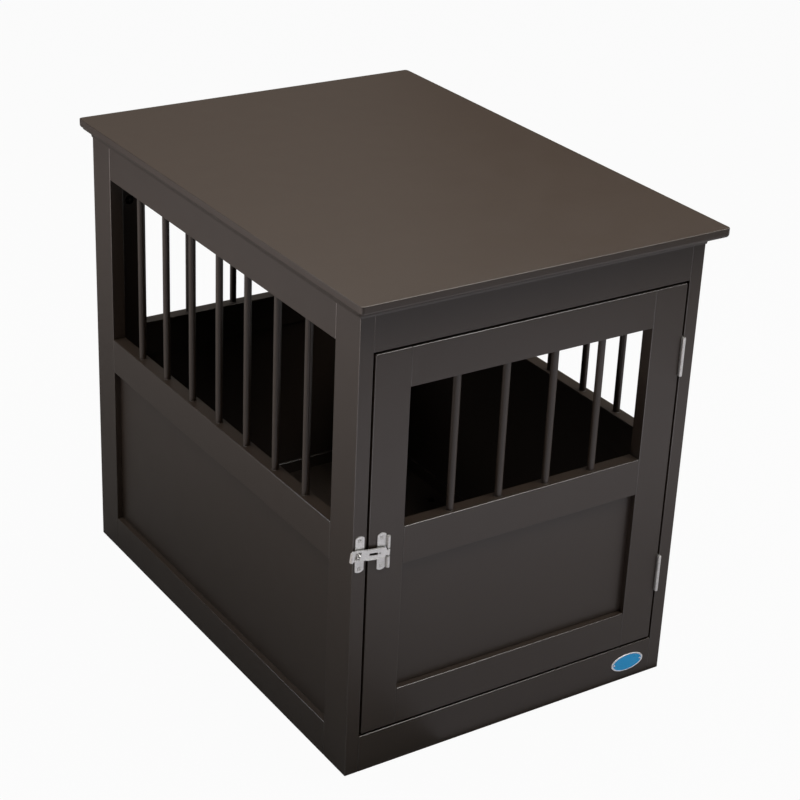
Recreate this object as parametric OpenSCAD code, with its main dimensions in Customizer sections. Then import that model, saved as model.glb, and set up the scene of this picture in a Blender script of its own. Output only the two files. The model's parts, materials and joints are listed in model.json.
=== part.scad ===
// Furniture-style pet crate: a low table on four framed panels with dowel bars.
// The front is an inset door on two butt hinges, held shut by a hasp on a staple.
// Millimetres, +Z up, front towards -Y. The origin is on the floor, under the
// middle of the table top. Pieces are drawn from the body's front left floor
// corner and moved to the origin by from_corner().

/* [Body] */
// Width of the body, over both side panels
body_w = 472; // [420:1:560]
// Depth of the body, front face to back face
body_d = 655; // [560:1:760]
// Height of the whole crate
total_h = 610; // [560:1:680]
// Thickness of every framed board
board_t = 18; // [15:1:22]
// Thickness of the floor board
floor_t = 15; // [12:1:18]
// Height of the floor board's upper face
floor_top = 29; // [20:1:40]

/* [Table top] */
// Thickness of the table top
top_t = 12; // [10:1:20]
// Overhang at the front
over_front = 24; // [12:1:40]
// Overhang at each side
over_side = 15; // [12:1:30]
// Overhang at the back
over_rear = 9; // [9:1:30]
// Radius of the top's corners, seen from above
corner_r = 5; // [2:1:8]
// Radius of the round along the top's lower edge
nose_r = 5; // [2:0.5:6]
// Height of the moulding under the top
mould_h = 13; // [10:1:18]
// How far the moulding stands out from the body
mould_out = 9; // [6:0.5:9]
// Height of the flat band above the moulding's hollow
mould_band = 4; // [2:0.5:6]

/* [Frames] */
// Width of the side panels' uprights
side_stile_w = 49; // [40:1:60]
// Width of the uprights in the door and the back
stile_w = 46.5; // [40:0.5:60]
// Height of the bottom rails, above the floor
bottom_rail_h = 47; // [40:1:60]
// Height of the middle rails
mid_rail_h = 48; // [40:1:60]
// Height of the middle rails' lower edge
mid_rail_z = 270; // [220:1:320]
// Height of the window's upper edge in the sides and back
window_top = 542; // [500:1:560]
// Thickness of the flat infill panels
panel_t = 6; // [4:0.5:8]
// Depth of the recess in front of the infill panels
panel_set = 8; // [4:0.5:10]
// How deep the infill panels sit in their grooves
tongue = 6; // [4:0.5:8]

/* [Bars] */
// Diameter of the dowel bars
bar_d = 9; // [7:0.5:12]
// Bars in each side
side_bars = 7; // [3:1:9]
// Bars in the door, and in the back
door_bars = 4; // [2:1:6]
// How deep the bars sit in their sockets
socket = 10; // [6:1:15]

/* [Door] */
// Height of the front bottom rail
front_rail_h = 50; // [45:1:60]
// Gap all round the door
door_gap = 3; // [2:0.1:4]
// Height of the door's top rail and bottom rail
door_rail_h = 48; // [40:1:60]
// Distance from each end of the door to the near end of a hinge
hinge_inset = 69; // [50:1:120]
// Length of a hinge
hinge_len = 50; // [40:1:60]

/* [Latch] */
// Height of the middle of the strap's knuckle
latch_z = 293.5; // [288:0.5:300]
// Height of the middle of the keeper plate
keeper_z = 298.5; // [292:0.5:304]
// Position of the keeper plate's middle, from the body's left face
keeper_x = 8.7; // [7:0.1:11]
// Position of the strap's hinge pin, from the body's left face
latch_pin_x = 45.6; // [44:0.1:52]

/* [Badge] */
// Length of the blank oval badge
badge_w = 50; // [30:1:70]
// Height of the badge
badge_h = 24; // [16:1:36]
// Distance of the badge's middle from the body's right face
badge_inset = 53; // [40:1:120]

/* [Hidden] */

$fn = 48;
slack = 0.1;                       // looseness of hidden glued and screwed fits
frame_h = total_h - top_t;         // height of the panels, to the top's underside
origin_y = (body_d + over_rear - over_front) / 2;
mid_rail_top = mid_rail_z + mid_rail_h;
inner_w = body_w - 2 * board_t;
paint = "#4a413b";
zinc = "#c9ccce";

// A framed panel is described by its length, its upright width, the heights of
// its bottom, its bottom rail's top, its window's top and its own top, and its
// number of bars. Its middle rail is the same everywhere.
side_frame = [body_d, side_stile_w, 0, bottom_rail_h, window_top, frame_h, side_bars];
rear_frame = [inner_w, stile_w, 0, bottom_rail_h, window_top, frame_h, door_bars];
door_w = inner_w - 2 * door_gap;
door_z = front_rail_h + door_gap;
door_top = window_top - door_gap;
door_frame = [door_w, stile_w, door_z, door_z + door_rail_h,
              door_top - door_rail_h, door_top, door_bars];
function frame_len(f) = f[0];
function frame_stile(f) = f[1];
function frame_foot(f) = f[2];
function frame_low(f) = f[3];
function frame_win(f) = f[4];
function frame_head(f) = f[5];
function frame_bars(f) = f[6];
function bar_pitch(f) = (frame_len(f) - 2 * frame_stile(f)) / (frame_bars(f) + 1);

// Joint dowels inside the frames
dowel_r = 4;
dowel_half = 15;
dowel_spread = 12;

// Cam fittings: the bolt stands in one board and runs into a cam in the next
cam_r = 6;
cam_inset = 24;
bolt_r = 3;
thread_r = 2.5;
thread_len = 9;
rear_cam_z = [110, 498];
floor_cam_y = [185, 468];
top_cam_y = [150, 500];

// Butt hinges: the barrel stands in front of the gap beside the door
hinge_r = 2.25;
pin_r = 1;
fit = 0.05;
leaf_t = 0.8;
leaf_w = 16;
hinge_x = body_w - board_t - door_gap / 2;
hinge_y = -(hinge_r + 0.15);
hinge_z = [door_z + hinge_inset, door_top - hinge_inset - hinge_len];
knuckles = 5;
hinge_screw_z = [12, 38];

// Hasp
plate_t = 1.2;
keeper_w = 11.6;
keeper_h = 46;
base_w = 11.4;
base_h = 47;
base_z = latch_z + 1.5;
plate_screw = 18;                  // each plate's screws, from its middle
plate_screw_r = [2.6, 1.3];        // radius of the head and of the shank
leaf_screw_r = [2.4, 1.2];
screw_len = 13;
screw_fit = 0.05;
latch_r = 2.3;
latch_y = -(latch_r + 0.15);
base_x = latch_pin_x - latch_r - base_w / 2;
base_knuckle_h = 14.4;
strap_gap = 11.4;                  // room for the strap between the base's knuckles
strap_knuckle_h = 7;
strap_h = 13.4;
strap_y = -1.95;                   // strap's front face, from its pin
reach = latch_pin_x - keeper_x;
strap_rise = atan((keeper_z - latch_z) / reach);
strap_end = latch_pin_x + 4.2;     // from the pin to where the strap curls
strap_slot_w = 8;
staple_x = keeper_x - 3.6;
staple_t = 1.4;
staple_h = 7.6;
staple_out = 9;
staple_hole_r = 2.2;

// ---------------------------------------------------------------- helpers

module from_corner() {
    translate([-body_w / 2, -origin_y, 0]) children();
}

// A box between two opposite corners
module box(a, b) {
    translate(a) cube(b - a);
}

// The children, and their mirror image on the right side of the body
module both_sides() {
    children();
    right_side() children();
}

module right_side() {
    translate([body_w, 0, 0]) mirror([1, 0, 0]) children();
}

// A framed panel is drawn lying along +X with its outer face at y = 0.
module as_left() {
    mirror([1, -1, 0]) children();
}

module as_right() {
    right_side() as_left() children();
}

module as_rear() {
    translate([board_t, body_d, 0]) mirror([0, 1, 0]) children();
}

module as_door() {
    translate([board_t + door_gap, 0, 0]) children();
}

// ---------------------------------------------------------------- framed panels

// The rails' lower and upper edges: bottom, middle and top rail
function rail_edges(f) = [
    [frame_foot(f), frame_low(f)],
    [mid_rail_z, mid_rail_top],
    [frame_win(f), frame_head(f)]
];

// Two joint dowels at each end of every rail, grown by extra for their holes
module dowels(f, extra = 0) {
    for (edges = rail_edges(f), up = [-dowel_spread, dowel_spread], end = [0, 1])
        translate([
            end ? frame_len(f) - frame_stile(f) : frame_stile(f),
            board_t / 2,
            (edges[0] + edges[1]) / 2 + up
        ])
            rotate([0, 90, 0])
                cylinder(r = dowel_r + extra, h = 2 * (dowel_half + extra), center = true);
}

// The flat infill panel, grown by extra for its groove
module infill(f, extra = 0) {
    grow = tongue + 5 * extra;
    box([frame_stile(f) - grow, panel_set - extra, frame_low(f) - grow],
        [frame_len(f) - frame_stile(f) + grow, panel_set + panel_t + extra,
         mid_rail_z + grow]);
}

// The upright dowel bars, grown by extra for their sockets
module bars(f, extra = 0) {
    for (i = [1:frame_bars(f)])
        translate([frame_stile(f) + i * bar_pitch(f), board_t / 2,
                   mid_rail_top - socket - extra])
            cylinder(r = bar_d / 2 + extra,
                     h = frame_win(f) - mid_rail_top + 2 * (socket + extra));
}

// The upright at the start (end = 0) or the end (end = 1) of the panel
module stile(f, end) {
    start = end ? frame_len(f) - frame_stile(f) : 0;
    difference() {
        box([start, 0, frame_foot(f)], [start + frame_stile(f), board_t, frame_head(f)]);
        dowels(f, slack);
        infill(f, slack);
    }
}

// Rail number i: 0 bottom, 1 middle, 2 top
module rail(f, i) {
    edges = rail_edges(f)[i];
    difference() {
        box([frame_stile(f), 0, edges[0]],
            [frame_len(f) - frame_stile(f), board_t, edges[1]]);
        dowels(f, slack);
        if (i < 2) infill(f, slack);
        if (i > 0) bars(f, slack);
    }
}

// ---------------------------------------------------------------- cam fittings

// Each set places its children with the board's edge at the origin, the board
// along +X, the bolt on the X axis and the cam put in from the -Y side.
module rear_cams() {
    for (z = rear_cam_z)
        translate([board_t, body_d - board_t / 2, z]) children();
}

module front_cams() {
    for (z = [front_rail_h / 2, window_top + (frame_h - window_top) / 2])
        translate([board_t, board_t / 2, z]) rotate([180, 0, 0]) children();
}

module floor_cams() {
    for (y = floor_cam_y)
        translate([board_t, y, floor_top - floor_t / 2]) rotate([-90, 0, 0]) children();
}

module top_cams() {
    for (y = top_cam_y)
        translate([board_t / 2, y, frame_h]) rotate([0, 90, 90]) children();
}

// The cam, deep is the bolt's distance below the board's face
module cam(deep, extra = 0) {
    translate([cam_inset, -deep, 0]) rotate([-90, 0, 0])
        cylinder(r = cam_r + extra, h = deep + bolt_r + 2 + extra);
}

module cam_disc(deep) {
    slot_w = 1.2;
    slot_len = 7;
    difference() {
        cam(deep);
        rotate([0, 90, 0]) cylinder(r = bolt_r + 0.3, h = cam_inset);
        translate([cam_inset, -deep, 0]) {
            cube([slot_len, 3, slot_w], center = true);
            cube([slot_w, 3, slot_len], center = true);
        }
    }
}

module cam_bolt() {
    rotate([0, 90, 0]) {
        translate([0, 0, -thread_len]) cylinder(r = thread_r, h = thread_len + 1);
        cylinder(r = bolt_r, h = 15);
        cylinder(r = thread_r - 0.7, h = 21);
        translate([0, 0, 20]) cylinder(r = bolt_r, h = 2.5);
    }
}

// The holes for one fitting: cam and bolt hole, and the thread's hole beyond
module cam_holes(deep) {
    cam(deep, slack);
    rotate([0, 90, 0]) cylinder(r = bolt_r + 0.3, h = cam_inset);
    rotate([0, -90, 0]) cylinder(r = thread_r + slack, h = thread_len + slack);
}

// Every fitting's holes in the left or right side panel
module side_fitting_holes() {
    rear_cams() cam_holes(board_t / 2);
    front_cams() cam_holes(board_t / 2);
    floor_cams() cam_holes(floor_t / 2);
    top_cams() cam_holes(board_t / 2);
}

// ---------------------------------------------------------------- screws

// A countersunk screw along -Z with its head's face at z = 0. radii are its
// head's and its shank's.
module screw(radii, extra = 0) {
    head_r = radii[0];
    shank_r = radii[1];
    difference() {
        rotate_extrude()
            polygon([
                [0, 0],
                [head_r + extra, 0],
                [shank_r + extra, -(head_r - shank_r)],
                [shank_r + extra, shank_r - screw_len - extra],
                [0, -screw_len - extra]
            ]);
        if (extra == 0)
            for (a = [0, 90]) rotate([0, 0, a]) cube([0.5, head_r * 1.1, 0.8], center = true);
    }
}

// Screws along +Y through a plate on the front, at the heights above its middle
module plate_screws(x, z, extra = 0) {
    for (up = [-plate_screw, plate_screw])
        translate([x, -plate_t, z + up]) rotate([90, 0, 0]) screw(plate_screw_r, extra);
}

// ---------------------------------------------------------------- butt hinges

// One leaf of every hinge. first is its lowest knuckle, side is 1 for the leaf
// on the body and -1 for the leaf on the door.
module hinge_leaves(first, side) {
    pitch = hinge_len / knuckles;
    gap = 0.15;
    outer = side * door_gap / 2;
    inner = side * (door_gap / 2 - leaf_t);
    for (z = hinge_z) translate([hinge_x, hinge_y, z]) {
        difference() {
            union() {
                box([min(inner, outer), 0.2 - hinge_y, 0],
                    [max(inner, outer), leaf_w - hinge_y, hinge_len]);
                for (i = [first:2:knuckles - 1])
                    difference() {
                        union() {
                            translate([0, 0, i * pitch + gap])
                                cylinder(r = hinge_r, h = pitch - 2 * gap);
                            box([min(inner, outer), 0, i * pitch + gap],
                                [max(inner, outer), 0.3 - hinge_y, (i + 1) * pitch - gap]);
                        }
                        translate([0, 0, i * pitch - 1])
                            cylinder(r = pin_r + fit, h = pitch + 2);
                    }
            }
            hinge_leaf_screws(side, screw_fit);
        }
    }
}

// The screws of one leaf, from the hinge's own axis and lower end
module hinge_leaf_screws(side, extra = 0) {
    for (z = hinge_screw_z)
        translate([side * (door_gap / 2 - leaf_t), leaf_w / 2 - hinge_y + 1, z])
            rotate([0, -90 * side, 0]) screw(leaf_screw_r, extra);
}

module hinge_screws(side, extra = 0) {
    for (z = hinge_z)
        translate([hinge_x, hinge_y, z]) hinge_leaf_screws(side, extra);
}

// ---------------------------------------------------------------- table top

module top_board() {
    w = body_w + 2 * over_side;
    d = body_d + over_front + over_rear;
    color(paint) from_corner()
        translate([-over_side, -over_front, frame_h])
            difference() {
                linear_extrude(top_t) {
                    translate([corner_r, 0]) square([w - 2 * corner_r, d]);
                    translate([0, corner_r]) square([w, d - 2 * corner_r]);
                    for (x = [corner_r, w - corner_r], y = [corner_r, d - corner_r])
                        translate([x, y]) circle(r = corner_r);
                }
                nose_cut(w);
                translate([w, d, 0]) rotate([0, 0, 180]) nose_cut(w);
                translate([0, d, 0]) rotate([0, 0, -90]) nose_cut(d);
                translate([w, 0, 0]) rotate([0, 0, 90]) nose_cut(d);
                translate([over_side, over_front, -frame_h])
                    both_sides() top_cams() cam_holes(board_t / 2);
            }
}

// What rounds the lower edge of a board that lies along +X
module nose_cut(length) {
    translate([-1, 0, 0]) rotate([90, 0, 90]) linear_extrude(length + 2)
        difference() {
            translate([-1, -1]) square([nose_r + 1, nose_r + 1]);
            translate([nose_r, nose_r]) circle(r = nose_r);
        }
}

// The moulding's outline: out from the body along X, height along Y. Its flat
// band is above a hollow that runs in to the body.
module mould_outline() {
    step = 0.8;
    span = [mould_out - 2 * step, mould_h - mould_band];
    middle = [step, 0] + span / 2;
    hollow_r = 0.8 * norm(span);
    away = sqrt(pow(hollow_r, 2) - pow(norm(span) / 2, 2));
    difference() {
        square([mould_out, mould_h]);
        translate(middle + away * [span[1], -span[0]] / norm(span)) circle(r = hollow_r);
        translate([step + span[0], -1]) square([2 * step, span[1] + 1]);
    }
}

// A mitred length of moulding along +X that stands out towards -Y
module moulding(length) {
    translate([0, 0, frame_h - mould_h]) difference() {
        translate([-mould_out, 0, 0]) rotate([90, 0, 90]) mirror([1, 0, 0])
            linear_extrude(length + 2 * mould_out) mould_outline();
        mitre_cut();
        translate([length, 0, 0]) mirror([1, 0, 0]) mitre_cut();
    }
}

module mitre_cut() {
    rotate([0, 0, 135]) translate([0, 0, -1]) cube([3 * mould_out, 3 * mould_out, mould_h + 2]);
}

module front_moulding() {
    color(paint) from_corner() moulding(body_w);
}

module rear_moulding() {
    color(paint) from_corner() translate([body_w, body_d, 0]) rotate([0, 0, 180]) moulding(body_w);
}

module left_moulding() {
    color(paint) from_corner() translate([0, body_d, 0]) rotate([0, 0, -90]) moulding(body_d);
}

module right_moulding() {
    color(paint) from_corner() translate([body_w, 0, 0]) rotate([0, 0, 90]) moulding(body_d);
}

// ---------------------------------------------------------------- side panels

module left_front_stile() {
    color(paint) from_corner() difference() {
        as_left() stile(side_frame, 0);
        side_fitting_holes();
        plate_screws(keeper_x, keeper_z, slack);
    }
}

module left_rear_stile() {
    color(paint) from_corner() difference() {
        as_left() stile(side_frame, 1);
        side_fitting_holes();
    }
}

module left_top_rail() {
    color(paint) from_corner() difference() {
        as_left() rail(side_frame, 2);
        side_fitting_holes();
    }
}

module left_mid_rail() {
    color(paint) from_corner() as_left() rail(side_frame, 1);
}

module left_bottom_rail() {
    color(paint) from_corner() difference() {
        as_left() rail(side_frame, 0);
        side_fitting_holes();
    }
}

module left_panel() {
    color(paint) from_corner() as_left() infill(side_frame);
}

module left_bars() {
    color(paint) from_corner() as_left() bars(side_frame);
}

module right_front_stile() {
    color(paint) from_corner() difference() {
        as_right() stile(side_frame, 0);
        right_side() side_fitting_holes();
        hinge_screws(1, slack);
    }
}

module right_rear_stile() {
    color(paint) from_corner() difference() {
        as_right() stile(side_frame, 1);
        right_side() side_fitting_holes();
    }
}

module right_top_rail() {
    color(paint) from_corner() difference() {
        as_right() rail(side_frame, 2);
        right_side() side_fitting_holes();
    }
}

module right_mid_rail() {
    color(paint) from_corner() as_right() rail(side_frame, 1);
}

module right_bottom_rail() {
    color(paint) from_corner() difference() {
        as_right() rail(side_frame, 0);
        right_side() side_fitting_holes();
    }
}

module right_panel() {
    color(paint) from_corner() as_right() infill(side_frame);
}

module right_bars() {
    color(paint) from_corner() as_right() bars(side_frame);
}

// ---------------------------------------------------------------- back panel

module rear_left_stile() {
    color(paint) from_corner() difference() {
        as_rear() stile(rear_frame, 0);
        rear_cams() cam_holes(board_t / 2);
    }
}

module rear_right_stile() {
    color(paint) from_corner() difference() {
        as_rear() stile(rear_frame, 1);
        right_side() rear_cams() cam_holes(board_t / 2);
    }
}

module rear_top_rail() {
    color(paint) from_corner() as_rear() rail(rear_frame, 2);
}

module rear_mid_rail() {
    color(paint) from_corner() as_rear() rail(rear_frame, 1);
}

module rear_bottom_rail() {
    color(paint) from_corner() as_rear() rail(rear_frame, 0);
}

module rear_panel() {
    color(paint) from_corner() as_rear() infill(rear_frame);
}

module rear_bars() {
    color(paint) from_corner() as_rear() bars(rear_frame);
}

// ---------------------------------------------------------------- front and floor

module front_rail(low, high) {
    color(paint) from_corner() difference() {
        box([board_t, 0, low], [body_w - board_t, board_t, high]);
        both_sides() front_cams() cam_holes(board_t / 2);
    }
}

module front_top_rail() {
    front_rail(window_top, frame_h);
}

module front_bottom_rail() {
    front_rail(0, front_rail_h);
}

module floor_board() {
    color(paint) from_corner() difference() {
        box([board_t, board_t, floor_top - floor_t],
            [body_w - board_t, body_d - board_t, floor_top]);
        both_sides() floor_cams() cam_holes(floor_t / 2);
    }
}

// ---------------------------------------------------------------- door

module door_latch_stile() {
    color(paint) from_corner() difference() {
        as_door() stile(door_frame, 0);
        plate_screws(base_x, base_z, slack);
    }
}

module door_hinge_stile() {
    color(paint) from_corner() difference() {
        as_door() stile(door_frame, 1);
        hinge_screws(-1, slack);
    }
}

module door_top_rail() {
    color(paint) from_corner() as_door() rail(door_frame, 2);
}

module door_mid_rail() {
    color(paint) from_corner() as_door() rail(door_frame, 1);
}

module door_bottom_rail() {
    color(paint) from_corner() as_door() rail(door_frame, 0);
}

module door_panel() {
    color(paint) from_corner() as_door() infill(door_frame);
}

module door_bars() {
    color(paint) from_corner() as_door() bars(door_frame);
}

// ---------------------------------------------------------------- hidden joinery

module frame_dowels() {
    color("tan") from_corner() {
        as_left() dowels(side_frame);
        as_right() dowels(side_frame);
        as_rear() dowels(rear_frame);
    }
}

module door_dowels() {
    color("tan") from_corner() as_door() dowels(door_frame);
}

module cam_discs() {
    color(zinc) from_corner() both_sides() {
        rear_cams() cam_disc(board_t / 2);
        front_cams() cam_disc(board_t / 2);
        floor_cams() cam_disc(floor_t / 2);
        top_cams() cam_disc(board_t / 2);
    }
}

module cam_bolts() {
    color(zinc) from_corner() both_sides() {
        rear_cams() cam_bolt();
        front_cams() cam_bolt();
        floor_cams() cam_bolt();
        top_cams() cam_bolt();
    }
}

// ---------------------------------------------------------------- hinges

module hinge_frame_leaves() {
    color(zinc) from_corner() hinge_leaves(0, 1);
}

module hinge_door_leaves() {
    color(zinc) from_corner() hinge_leaves(1, -1);
}

module hinge_pins() {
    color(zinc) from_corner() for (z = hinge_z)
        translate([hinge_x, hinge_y, z]) cylinder(r = pin_r, h = hinge_len);
}

module hinge_frame_screws() {
    color(zinc) from_corner() hinge_screws(1);
}

module hinge_door_screws() {
    color(zinc) from_corner() hinge_screws(-1);
}

// ---------------------------------------------------------------- hasp

// A screw plate on the front face, w wide and h high, with arched ends
module arched_plate(x, z, w, h) {
    arch_r = 8;
    translate([x, 0, z]) rotate([90, 0, 0]) linear_extrude(plate_t)
        intersection() {
            square([w, h], center = true);
            translate([0, arch_r - h / 2]) {
                circle(r = arch_r);
                translate([-arch_r, 0]) square([2 * arch_r, h - 2 * arch_r]);
                translate([0, h - 2 * arch_r]) circle(r = arch_r);
            }
        }
}

module keeper_plate() {
    round_r = staple_h / 2;
    color(zinc) from_corner() difference() {
        union() {
            arched_plate(keeper_x, keeper_z, keeper_w, keeper_h);
            box([staple_x - staple_t / 2, -staple_out + round_r, keeper_z - round_r],
                [staple_x + staple_t / 2, -plate_t / 2, keeper_z + round_r]);
            translate([staple_x, -staple_out + round_r, keeper_z]) rotate([0, 90, 0])
                cylinder(r = round_r, h = staple_t, center = true);
        }
        translate([staple_x, -staple_out + round_r, keeper_z]) rotate([0, 90, 0])
            cylinder(r = staple_hole_r, h = 3 * staple_t, center = true);
        plate_screws(keeper_x, keeper_z, screw_fit);
    }
}

module keeper_screws() {
    color(zinc) from_corner() plate_screws(keeper_x, keeper_z);
}

module latch_base_plate() {
    color(zinc) from_corner() difference() {
        union() {
            arched_plate(base_x, base_z, base_w, base_h);
            for (low = [latch_z - strap_gap / 2 - base_knuckle_h, latch_z + strap_gap / 2]) {
                translate([latch_pin_x, latch_y, low]) cylinder(r = latch_r, h = base_knuckle_h);
                box([base_x, -plate_t, low], [latch_pin_x, -0.15, low + base_knuckle_h]);
            }
        }
        translate([latch_pin_x, latch_y, latch_z - base_h])
            cylinder(r = pin_r + fit, h = 2 * base_h);
        plate_screws(base_x, base_z, screw_fit);
    }
}

module latch_base_screws() {
    color(zinc) from_corner() plate_screws(base_x, base_z);
}

module latch_pin() {
    length = strap_gap + 2 * base_knuckle_h;
    color(zinc) from_corner() translate([latch_pin_x, latch_y, latch_z - length / 2])
        cylinder(r = pin_r, h = length);
}

// The strap's flat blank, seen from the front: pin at the origin, free end to -X
module strap_blank() {
    shoulder = -3.6;
    ear_r = 2.6;
    ear_x = shoulder - ear_r;
    slot_x = latch_pin_x - staple_x + 0.9;
    difference() {
        union() {
            translate([-strap_end, -strap_h / 2]) square([strap_end + ear_x, strap_h]);
            translate([ear_x - 1, ear_r - strap_h / 2])
                square([1 + ear_r, strap_h - 2 * ear_r]);
            for (up = [-1, 1]) translate([ear_x, up * (strap_h / 2 - ear_r)]) circle(r = ear_r);
        }
        // slot over the staple
        translate([-slot_x, 0]) square([strap_slot_w, staple_h + 1.6], center = true);
        // long lightening slot and rivet hole
        translate([-26, -1.6]) square([11, 3.2]);
        translate([-12, 0]) circle(r = 1.1);
    }
}

module latch_strap() {
    lip_r = 2.8;
    lip_h = strap_h - 2.4;
    fold = 1.2;
    color(zinc) from_corner() translate([latch_pin_x, latch_y, latch_z]) {
        difference() {
            union() {
                translate([0, 0, -strap_knuckle_h / 2])
                    cylinder(r = latch_r, h = strap_knuckle_h);
                box([-7, strap_y, -strap_knuckle_h / 2 + 0.4],
                    [0, strap_y + plate_t, strap_knuckle_h / 2 - 0.4]);
                rotate([0, strap_rise, 0]) {
                    translate([0, strap_y + plate_t, 0]) rotate([90, 0, 0])
                        linear_extrude(plate_t) strap_blank();
                    // folded stiffening edges
                    for (up = [-strap_h / 2, strap_h / 2 - fold])
                        box([-30, strap_y - 0.9, up], [-7, strap_y + 0.1, up + fold]);
                    // curled thumb lip
                    translate([-strap_end, strap_y + plate_t - lip_r, 0])
                        difference() {
                            cylinder(r = lip_r, h = lip_h, center = true);
                            cylinder(r = lip_r - plate_t, h = lip_h + 2, center = true);
                            box([0, -2 * lip_r, -strap_h], [2 * lip_r, 2 * lip_r, strap_h]);
                        }
                }
            }
            translate([0, 0, -strap_gap]) cylinder(r = pin_r + fit, h = 2 * strap_gap);
        }
    }
}

// ---------------------------------------------------------------- badge

module badge() {
    color("#2f7fb8") from_corner()
        translate([body_w - badge_inset, 0, front_rail_h / 2]) rotate([90, 0, 0])
            linear_extrude(plate_t)
                polygon([for (a = [0:7.5:352.5]) [badge_w / 2 * cos(a), badge_h / 2 * sin(a)]]);
}

// ---------------------------------------------------------------- drawing

top_board();
front_moulding();
rear_moulding();
left_moulding();
right_moulding();
left_front_stile();
left_rear_stile();
left_top_rail();
left_mid_rail();
left_bottom_rail();
left_panel();
left_bars();
right_front_stile();
right_rear_stile();
right_top_rail();
right_mid_rail();
right_bottom_rail();
right_panel();
right_bars();
rear_left_stile();
rear_right_stile();
rear_top_rail();
rear_mid_rail();
rear_bottom_rail();
rear_panel();
rear_bars();
front_top_rail();
front_bottom_rail();
floor_board();
door_latch_stile();
door_hinge_stile();
door_top_rail();
door_mid_rail();
door_bottom_rail();
door_panel();
door_bars();
frame_dowels();
door_dowels();
cam_discs();
cam_bolts();
hinge_frame_leaves();
hinge_door_leaves();
hinge_pins();
hinge_frame_screws();
hinge_door_screws();
keeper_plate();
keeper_screws();
latch_base_plate();
latch_base_screws();
latch_strap();
latch_pin();
badge();
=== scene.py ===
"""A furniture-style pet crate: a low end table on four framed panels with dowel bars.

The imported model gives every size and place. This script builds the surfaces that are seen:
eased and painted boards, the rounded top, the moulding, the bars and the zinc-plated
hinges and hasp. Lengths are in metres, +Z is up and the door faces -Y.
"""

import json
from math import cos, pi, radians, sin

import bmesh
import bpy
import numpy as np
from bpy.props import FloatProperty, FloatVectorProperty, IntProperty, PointerProperty
from bpy.types import Operator, Panel, PropertyGroup
from mathutils import Matrix, Vector


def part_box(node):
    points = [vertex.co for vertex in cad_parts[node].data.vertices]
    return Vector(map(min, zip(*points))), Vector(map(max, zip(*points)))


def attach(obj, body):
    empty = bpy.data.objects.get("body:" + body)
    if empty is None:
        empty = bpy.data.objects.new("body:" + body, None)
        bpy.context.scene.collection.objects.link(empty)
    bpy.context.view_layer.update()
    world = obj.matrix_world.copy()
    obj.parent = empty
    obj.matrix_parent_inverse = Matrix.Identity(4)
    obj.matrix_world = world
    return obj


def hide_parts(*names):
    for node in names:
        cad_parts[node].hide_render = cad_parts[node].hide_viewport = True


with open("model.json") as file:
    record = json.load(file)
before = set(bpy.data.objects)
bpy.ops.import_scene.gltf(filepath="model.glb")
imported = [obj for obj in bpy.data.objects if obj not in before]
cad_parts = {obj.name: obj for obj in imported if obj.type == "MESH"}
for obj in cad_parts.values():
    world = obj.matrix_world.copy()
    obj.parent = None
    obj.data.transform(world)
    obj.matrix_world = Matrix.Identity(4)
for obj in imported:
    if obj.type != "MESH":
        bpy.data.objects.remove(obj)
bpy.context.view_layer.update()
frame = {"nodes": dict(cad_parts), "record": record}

bl_info = {
    "name": "Pet Crate Table",
    "version": (1, 0, 0),
    "blender": (4, 5, 0),
    "location": "View3D > Sidebar > Pet Crate",
    "description": "Builds the painted boards, bars, hinges and hasp of a pet crate table",
    "category": "Add Mesh",
}

MM = 0.001
IMAGE_SIDE = 800  # the view is square


# ---------------------------------------------------------------- settings


class CrateShape(PropertyGroup):
    """Sizes of the finish that the frame doesn't hold"""

    ease: FloatProperty(
        name="Eased arris",
        description="Radius that the boards' edges are sanded to",
        default=0.9 * MM,
        min=0.1 * MM,
        max=2 * MM,
        unit="LENGTH",
    )
    top_upper: FloatProperty(
        name="Top's upper round",
        description="Radius along the upper edge of the table top",
        default=0.9 * MM,
        min=0.5 * MM,
        max=4 * MM,
        unit="LENGTH",
    )
    top_lower: FloatProperty(
        name="Top's lower round",
        description="Radius along the lower edge of the table top",
        default=4.5 * MM,
        min=1 * MM,
        max=6 * MM,
        unit="LENGTH",
    )
    top_corner: FloatProperty(
        name="Top's corners",
        description="Radius of the table top's corners, seen from above",
        default=5 * MM,
        min=3 * MM,
        max=20 * MM,
        unit="LENGTH",
    )
    bar_segments: IntProperty(
        name="Bar segments",
        description="Faces round each dowel bar",
        default=40,
        min=12,
        max=96,
    )


class CratePaint(PropertyGroup):
    """The espresso paint"""

    colour: FloatVectorProperty(
        name="Paint",
        description="Colour of the paint",
        subtype="COLOR",
        default=(0.03, 0.0205, 0.0145),
        min=0,
        max=1,
    )
    # lighter paint on the arrises: partly rubbed paint, partly a painted highlight of the glint
    # along them
    rubbed_and_highlight: FloatVectorProperty(
        name="Rubbed edge and painted highlight",
        description="Colour of the paint where the arrises are rubbed, also a painted highlight along them",
        subtype="COLOR",
        default=(0.05, 0.038, 0.03),
        min=0,
        max=1,
    )
    gloss: FloatProperty(
        name="Roughness",
        description="Roughness of the satin paint",
        default=0.42,
        min=0,
        max=1,
        subtype="FACTOR",
    )


class CrateMetal(PropertyGroup):
    """The zinc-plated fittings and the badge"""

    zinc: FloatVectorProperty(
        name="Zinc plate",
        description="Colour of the zinc plating",
        subtype="COLOR",
        default=(0.65, 0.65, 0.64),
        min=0,
        max=1,
    )
    metallic: FloatProperty(
        name="Metallic",
        description="Share of the plating that reflects as bare metal",
        default=0.7,
        min=0,
        max=1,
        subtype="FACTOR",
    )
    badge: FloatVectorProperty(
        name="Badge",
        description="Colour of the badge's face",
        subtype="COLOR",
        default=(0.0, 0.4, 0.86),
        min=0,
        max=1,
    )
    rim: FloatVectorProperty(
        name="Badge rim",
        description="Colour of the badge's rim",
        subtype="COLOR",
        default=(0.95, 0.97, 1.0),
        min=0,
        max=1,
    )


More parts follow.
